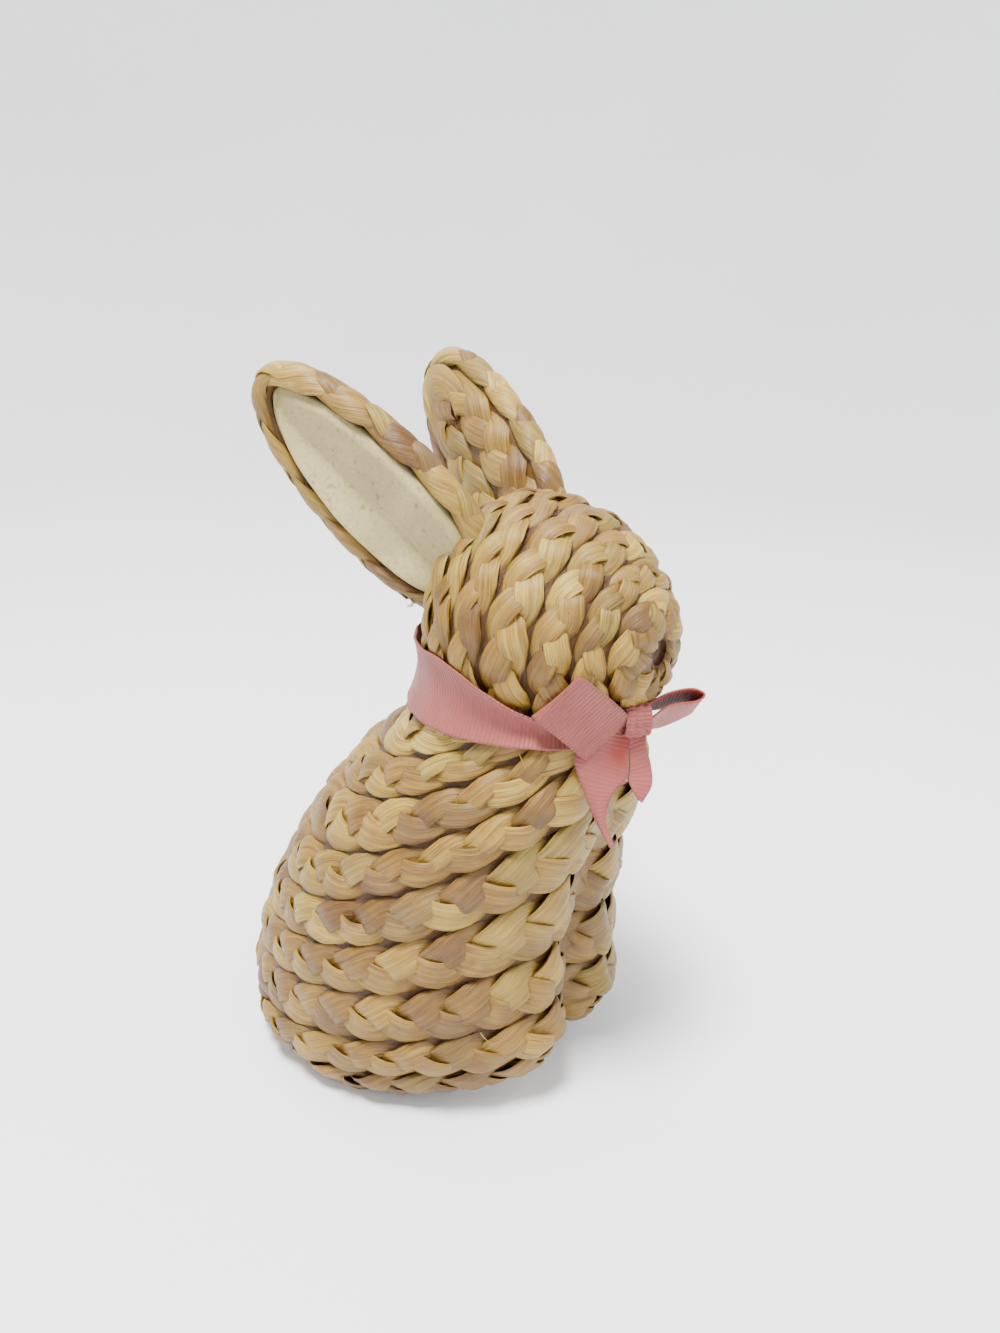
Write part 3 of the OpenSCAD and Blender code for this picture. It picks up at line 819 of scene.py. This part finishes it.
def ear_lining(ear, name):
    """Cupped pulp leaf with a soft crease along it."""
    shares = np.concatenate([np.linspace(0, 0.9, 22), [0.95, 0.98, 1.0]])
    turns = full_turn(120)
    lx, ly = leaf(turns)
    nx, ny = leaf_normal(turns)
    ox, oy = lx - nx * (RIM_HALF - 1.6), ly - ny * (RIM_HALF - 1.6)
    x = mix(33.0, ox, shares[:, None])
    y = mix(0.6, oy, shares[:, None])
    across = y / np.maximum(EAR_HALF * 0.82, 1)
    crease = 1.2 + 1.2 * np.sin(x / 19.0)
    cup = 4.6 * (1 - np.exp(-np.abs(y - crease) / 8.0))
    level = 0.1 + cup - 1.8 * smooth(0.9, 1, shares[:, None])
    level += 0.18 * np.sin(x / 7.3 + 2 * across) + 0.12 * np.sin(x / 3.1 - 3 * across)
    level = level * smooth(-8, 6, x) + 0.3
    front = ear.point(x, y, level)
    back = ear.point(x, y, np.full(x.shape, -0.35))
    p = np.concatenate([front, back[::-1]])
    build = Build()
    fibre = np.zeros(p.shape)
    # distance from the crease, which places the painted shade of the lining
    fibre[..., 1] = np.concatenate([y - crease, (y - crease)[::-1]])
    build.grid(p, fibre, np.full(3, 0.5), close_columns=True)
    build.done(f"pulp_lining_{name}", pulp,
               [f"ear_lining_{name}", f"ear_card_{name}"])


for name, side in SIDES:
    ear = Ear(side)
    ear_rim(ear, name)
    ear_back(ear, name)
    ear_lining(ear, name)

# ---------- ribbon ----------
CLOTH = 0.35  # thickness of the ribbon
STRIP_COLUMNS = 15


def ribbon_grid(upper, lower, steps, cup):
    """Grid of a strip between two edges, each a list of points along it."""
    u = np.linspace(0, len(upper) - 1, steps)
    a, b = catmull(upper, u), catmull(lower, u)
    v = np.linspace(0, 1, STRIP_COLUMNS)
    p = a[:, None] * (1 - v)[None, :, None] + b[:, None] * v[None, :, None]
    tangent = unit(np.gradient((a + b) / 2, axis=0))
    n = unit(np.cross(tangent, unit(b - a)))
    return p + (n * cup)[:, None] * np.sin(np.pi * v)[None, :, None]


def ribbon_piece(name, p, node, closed, inside=0.0,
                 ribs=1.0, shade=None):
    """inside paints shade on one face: the front, which the normal n leaves, where
    it is negative, and else the back. shade is painted shade on both faces, point
    by point, and ribs is the strength of the ribs.
    """
    run = arc_table(p[:, p.shape[1] // 2])
    if closed:
        run_dir = np.roll(p, -1, 0) - np.roll(p, 1, 0)
    else:
        run_dir = np.gradient(p, axis=0)
    cross = np.gradient(p, axis=1)
    n = unit(np.cross(run_dir, cross))
    edge = np.abs(np.linspace(-1, 1, p.shape[1]))
    half = CLOTH / 2 * (1 + 0.5 * smooth(0.86, 0.93, edge))[None, :, None]
    both = np.concatenate([p + n * half, (p - n * half)[:, ::-1]], 1)
    width = np.linalg.norm(p[:, -1] - p[:, 0], axis=1)
    v = np.linspace(-0.5, 0.5, p.shape[1])
    across = np.concatenate([v, v[::-1]])[None] * width[:, None]
    fibre = np.zeros(both.shape)
    fibre[..., 0], fibre[..., 1] = run[:, None], across
    # painted shade on one face of the cloth
    shown = slice(p.shape[1], None) if inside > 0 else slice(0, p.shape[1])
    fibre[:, shown, 2] = abs(inside)
    if shade is not None:
        fibre[..., 2] += np.concatenate([shade, shade[:, ::-1]], 1)
    build = Build()
    build.grid(both, fibre, np.full(3, ribs), close_rows=closed,
               close_columns=True, caps=not closed)
    piece = build.done(name, ribbon, [node])


def collar():
    """The turn round the neck, a little wavy."""
    th = full_turn(360)
    v = np.linspace(0, 1, 21)
    low_z, top_z = collar_heights(th)
    z = mix(low_z[:, None], top_z[:, None], v)
    r = collar_radius(th[:, None], v)
    r = r + 0.12 * np.sin(9 * th + 1)[:, None] * v + 0.1 * np.sin(23 * th)[:, None]
    p = np.stack([r * np.sin(th)[:, None], HEAD_Y - r * np.cos(th)[:, None], z], -1)
    length = arc_table(p[:, 10])[-1] * MM
    ribbon_piece("ribbon_band", p, "ribbon_collar", True,
                 ribs=0.7)


KNOT = np.array([-5.9, -57.6, 116.9])  # middle of the knot

LOOP_NEAR = [  # upper and lower edge along the loop
    ((-6.5, -56.6, 119.2), (-6.5, -55.6, 116.0)),
    ((-14, -52.8, 124.5), (-15, -48.8, 113.0)),
    ((-21.2, -52.3, 130.6), (-24.2, -42.6, 119.8)),
    ((-23.2, -53.3, 131.8), (-25.9, -43.6, 120.0)),
    ((-23.0, -54.6, 131.4), (-25.6, -44.8, 119.3)),
    ((-16.5, -56.9, 125.6), (-21.7, -48.3, 114.4)),
    ((-10.2, -58.0, 119.9), (-18, -51.0, 109.9)),
    ((-8.3, -58.0, 117.8), (-15.6, -51.6, 108.7)),
    ((-6.5, -57.6, 117.2), (-10, -54.6, 112.0)),
]
LOOP_FAR = [  # near and far edge along the loop
    ((-4.0, -58.2, 119.2), (-2.6, -57.0, 117.5)),
    ((2.6, -61.4, 121.4), (9.0, -56.8, 114.2)),
    ((7.2, -65.2, 122.1), (14.2, -59.6, 114.4)),
    ((8.9, -67.9, 120.9), (16.4, -61.8, 112.8)),
    ((7.2, -67.0, 119.4), (14.4, -60.9, 111.4)),
    ((1.6, -62.4, 118.8), (7.6, -57.2, 109.8)),
    ((-3.6, -59.2, 115.2), (-1.4, -57.2, 112.8)),
]
TAIL_NEAR = [  # left and right edge, seen from the front right
    ((-8.0, -55.2, 115.2), (-5.5, -57.2, 116.0)),
    ((-13.0, -52.3, 114.6), (-6.8, -57.0, 112.4)),
    ((-15.8, -49.6, 111.6), (-8.6, -58.0, 107.6)),
    ((-17.6, -49.2, 107.6), (-10.5, -58.9, 104.0)),
    ((-17.2, -51.2, 102.0), (-14.0, -57.6, 101.2)),
    ((-17.2, -53.8, 96.8), (-15.6, -57.0, 97.6)),
    ((-17.2, -56.5, 92.4), (-16.6, -57.6, 93.6)),
    ((-17.0, -59.4, 88.4), (-16.6, -59.8, 89.3)),
]
TAIL_FAR = [  # the same edges
    ((-6.6, -56.4, 115.6), (-3.2, -59.4, 115.6)),
    ((-7.4, -57.6, 109.6), (-4.8, -60.4, 111.0)),
    ((-8.6, -58.6, 104.8), (-3.6, -61.4, 105.2)),
    ((-9.4, -59.0, 102.4), (-5.2, -62.8, 101.0)),
    ((-8.8, -61.6, 98.2), (-7.9, -61.9, 97.2)),
]


def strip_piece(name, edges, node, steps, cup=0.0, inside=0.0,
                ribs=1.0, shaded=0.0):
    """A loop or tail of the bow. cup bows it across, shaded paints shade on its root."""
    upper = [e[0] for e in edges]
    lower = [e[1] for e in edges]
    p = ribbon_grid(upper, lower, steps, cup)
    u = np.linspace(0, 1, steps)[:, None]
    v = np.linspace(0, 1, p.shape[1])[None]
    # painted shade on the root, towards one edge
    shade = (shaded * (1 - smooth(0.22, 0.5, u)) * smooth(0.35, 0.8, v)
             * (1 - 0.5 * smooth(0.85, 1, v)))
    ribbon_piece(name, p, node, False, inside,
                 ribs, shade)


def knot():
    """A short wrap of ribbon with its ribs running round it."""
    turns = full_turn(48)
    across = np.linspace(-1, 1, STRIP_COLUMNS)
    half_w, half_h, half_t = 3.1, 3.5, 2.8
    shape = np.abs(np.stack([np.cos(turns), np.sin(turns)], -1)) ** 0.62
    y = -np.sign(np.cos(turns)) * shape[:, 0] * half_t
    z = np.sign(np.sin(turns)) * shape[:, 1] * half_h
    puff = 1 + 0.10 * (1 - across ** 2)
    folds = 0.22 * np.sin(across * 8.5)
    x_dir = unit([0.80, -0.58, -0.05])
    z_dir = unit([0.1, 0.1, 1])
    z_dir = unit(z_dir - x_dir * (z_dir @ x_dir))
    y_dir = np.cross(z_dir, x_dir)
    size = np.hypot(y, z)
    grow = 1 + folds[None] / size[:, None]
    p = (KNOT + (across * half_w)[None, :, None] * x_dir
         + (y[:, None] * puff * grow)[..., None] * y_dir
         + (z[:, None] * puff * grow)[..., None] * z_dir)
    ribbon_piece("ribbon_knot_wrap", p, "ribbon_knot", True)


collar()
knot()
# inside and shaded set the painted shade of each loop and tail
strip_piece("ribbon_loop_near", LOOP_NEAR, "ribbon_loop_right", 90,
            0.3, -0.6)
strip_piece("ribbon_loop_far", LOOP_FAR, "ribbon_loop_left", 80,
            0.0, 1.0, ribs=0.4)
strip_piece("ribbon_tail_near", TAIL_NEAR, "ribbon_tail_right", 70,
            1.0, 0.0, ribs=0.3, shaded=0.9)
strip_piece("ribbon_tail_far", TAIL_FAR, "ribbon_tail_left", 50,
            0.0, 0.4, ribs=0.3)

# ---------- loose ends ----------
# Stray fibres of the body: angle from the front, height, length
LOOSE_BODY = [(-75, 9, 7), (-100, 60, 5), (-140, 92, 6), (-165, 108, 8), (-40, 30, 5),
              (75, 84, 6), (120, 50, 7), (175, 30, 6), (30, 70, 5), (-60, 112, 6)]
# and of the head: turn round the snout, share along it, length
LOOSE_HEAD = [(200, 0.9, 6), (300, 0.55, 5), (240, -0.6, 6), (60, -0.3, 5)]
STRAND_R = 0.13
GLUE_AT, GLUE_R = (-20.1, -1.4, 138.0), 1.2


def tube(build, path, radius, lobe):
    """A thin round strand along a list of points."""
    turns = full_turn(6)
    tangent = unit(np.gradient(path, axis=0))
    side = unit(np.cross(tangent, [0.3, 0.2, 0.93]))
    over = np.cross(tangent, side)
    taper = radius * (1 - 0.6 * np.linspace(0, 1, len(path)) ** 2)[:, None, None]
    p = (path[:, None] + taper * (side[:, None] * np.cos(turns)[None, :, None]
                                  + over[:, None] * np.sin(turns)[None, :, None]))
    fibre = np.zeros(p.shape)
    fibre[..., 0] = arc_table(path)[:, None]
    build.grid(p, fibre, lobe, close_columns=True, caps=True)


def stray(build, start, way, length):
    """A fibre that leaves the surface, curls aside and droops."""
    u = np.linspace(0, 1, 24)[:, None]
    aside = unit(np.cross(way, random.uniform(-1, 1, 3)))
    curl = random.uniform(0.5, 0.9) * length
    path = (start - way + way * u * length * 0.5 + aside * curl * u ** 2
            - np.array([0, 0, 0.25]) * length * u ** 2)
    tube(build, path, STRAND_R, np.array([0.95, 0.5, 0.5]))


def loose_fibres():
    build = Build()
    for turn, z, length in LOOSE_BODY:
        th, z = np.radians([turn]), np.array([float(z)])
        inside = np.array([[0, BASE_Y - LEAN * z[0] / SECTION_H, z[0]]])
        way = normals(body_point, th, z, TURN_STEP, HEIGHT_STEP, inside)[0]
        stray(build, body_point(th, z)[0], way, length)
    for turn, u, length in LOOSE_HEAD:
        turn, u = np.radians([turn]), np.array([u])
        way = normals(head_point, turn, u, TURN_STEP, SHARE_STEP, HEAD_C)[0]
        stray(build, head_point(turn, u)[0], way, length)
    build.done("husk_loose_fibres", husk, floor=0.3)


def glue_bead():
    """A small set drop of glue where the near ear leaves the head."""
    a = np.linspace(0.05, np.pi - 0.05, 12)[:, None]
    b = np.linspace(0, 2 * np.pi, 25)[None, :-1]
    r = GLUE_R * (1 + 0.15 * np.sin(3 * b + 2 * a) + 0.1 * np.sin(5 * b))
    p = np.stack([GLUE_AT[0] + 0.7 * r * np.sin(a) * np.cos(b),
                  GLUE_AT[1] + r * np.sin(a) * np.sin(b),
                  GLUE_AT[2] + 0.8 * r * np.cos(a)], -1)
    build = Build()
    build.grid(p, np.zeros(3), np.full(3, 0.5), close_columns=True, caps=True)
    build.done("glue_bead", glue)


loose_fibres()
glue_bead()

# ---------- CAD nodes that stay visible ----------
NODE_MATERIALS = [
    ("body_core", foam, "foam"), ("head_core", foam, "foam"),
    ("neck_peg", bamboo, "peg"), ("ear_stem_left", bamboo, "peg"),
    ("ear_stem_right", bamboo, "peg"), ("base_cover", card, "card"),
]
for name, material, slot in NODE_MATERIALS:
    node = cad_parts[name]
    node.data.materials.clear()
    node.data.materials.append(material)

# ---------- floor, light and camera ----------
# In metres: radius of the flat floor, radius of its curve, height of the wall's top
BOWL_R, BOWL_EDGE, BOWL_H = 0.9, 0.8, 1.6
BOWL_SIDES = 96


def backdrop():
    """A wide white bowl: a floor that curves up into a wall all round."""
    bend = np.linspace(0, np.pi / 2, 14)
    r = np.concatenate([[0.001, 0.3, 0.6], BOWL_R + BOWL_EDGE * np.sin(bend),
                        [BOWL_R + BOWL_EDGE]])
    z = np.concatenate([[0, 0, 0], BOWL_EDGE * (1 - np.cos(bend)), [BOWL_H]])
    turns = full_turn(BOWL_SIDES)
    p = np.stack([r[:, None] * np.cos(turns), r[:, None] * np.sin(turns),
                  np.broadcast_to(z[:, None], (len(r), BOWL_SIDES))], -1)
    index = np.arange(len(r) * BOWL_SIDES).reshape(len(r), BOWL_SIDES)
    index = np.hstack([index, index[:, :1]])
    mesh = bpy.data.meshes.new("backdrop")
    mesh.from_pydata(p.reshape(-1, 3).tolist(), [], quads_of(index).tolist())
    mesh.shade_smooth()
    m = Shader("backdrop_white")
    at = m.add("ShaderNodeTexCoord", out=3)
    cloud = m.noise(at, 3.0, 2.0, 0.5)
    m.finish(Base_Color=m.blend(m.span(cloud, 0.3, 0.7), rgb(236, 237, 240),
                                rgb(240, 241, 243)), Roughness=0.9)
    mesh.materials.append(m.material)
    floor = bpy.data.objects.new("backdrop", mesh)
    bpy.context.collection.objects.link(floor)


def placed(axes, at):
    """Matrix of an object whose own x, y and z axes and place are given."""
    matrix = Matrix.Identity(4)
    for column, axis in enumerate((*axes, at)):
        for line in range(3):
            matrix[line][column] = axis[line]
    return matrix


LIT_POINT = (0, 0, 0.1)


def area_light(name, place, size, power, colour=(1.0, 1.0, 1.0)):
    data = bpy.data.lights.new(name, "AREA")
    data.shape, data.size, data.energy, data.color = "DISK", size, power, colour
    lamp = bpy.data.objects.new(name, data)
    z = unit(np.array(place) - np.array(LIT_POINT))
    x = unit(np.cross([0, 0, 1], z))
    lamp.matrix_world = placed((x, np.cross(z, x), z), place)
    bpy.context.collection.objects.link(lamp)


WORLD_LIGHT = 0.87
backdrop()
area_light("key", (-0.35, -0.1, 1.25), 0.35, 47.0, (1.0, 0.99, 0.97))
area_light("fill", (0.4, -0.9, 0.9), 0.9, 5.0)
area_light("back", (0.3, 0.8, 1.1), 0.8, 8.0)
world = bpy.data.worlds.new("studio")
world.use_nodes = True
background = world.node_tree.nodes["Background"]
background.inputs[0].default_value = (1.0, 1.0, 1.0, 1.0)
background.inputs[1].default_value = WORLD_LIGHT
bpy.context.scene.world = world

# Place of the camera in metres, and its own x, y and z axes
CAMERA_AT = (-0.19398, -0.1604, 0.21211)
CAMERA_AXES = ((0.60192, -0.79855, 0.0), (0.28838, 0.21737, 0.93251),
               (-0.74466, -0.56130, 0.36113))
camera_data = bpy.data.cameras.new("camera")
camera_data.lens = 27.0
camera_data.clip_start = 0.01
camera = bpy.data.objects.new("camera", camera_data)
camera.matrix_world = placed(CAMERA_AXES, CAMERA_AT)
bpy.context.collection.objects.link(camera)
bpy.context.scene.camera = camera
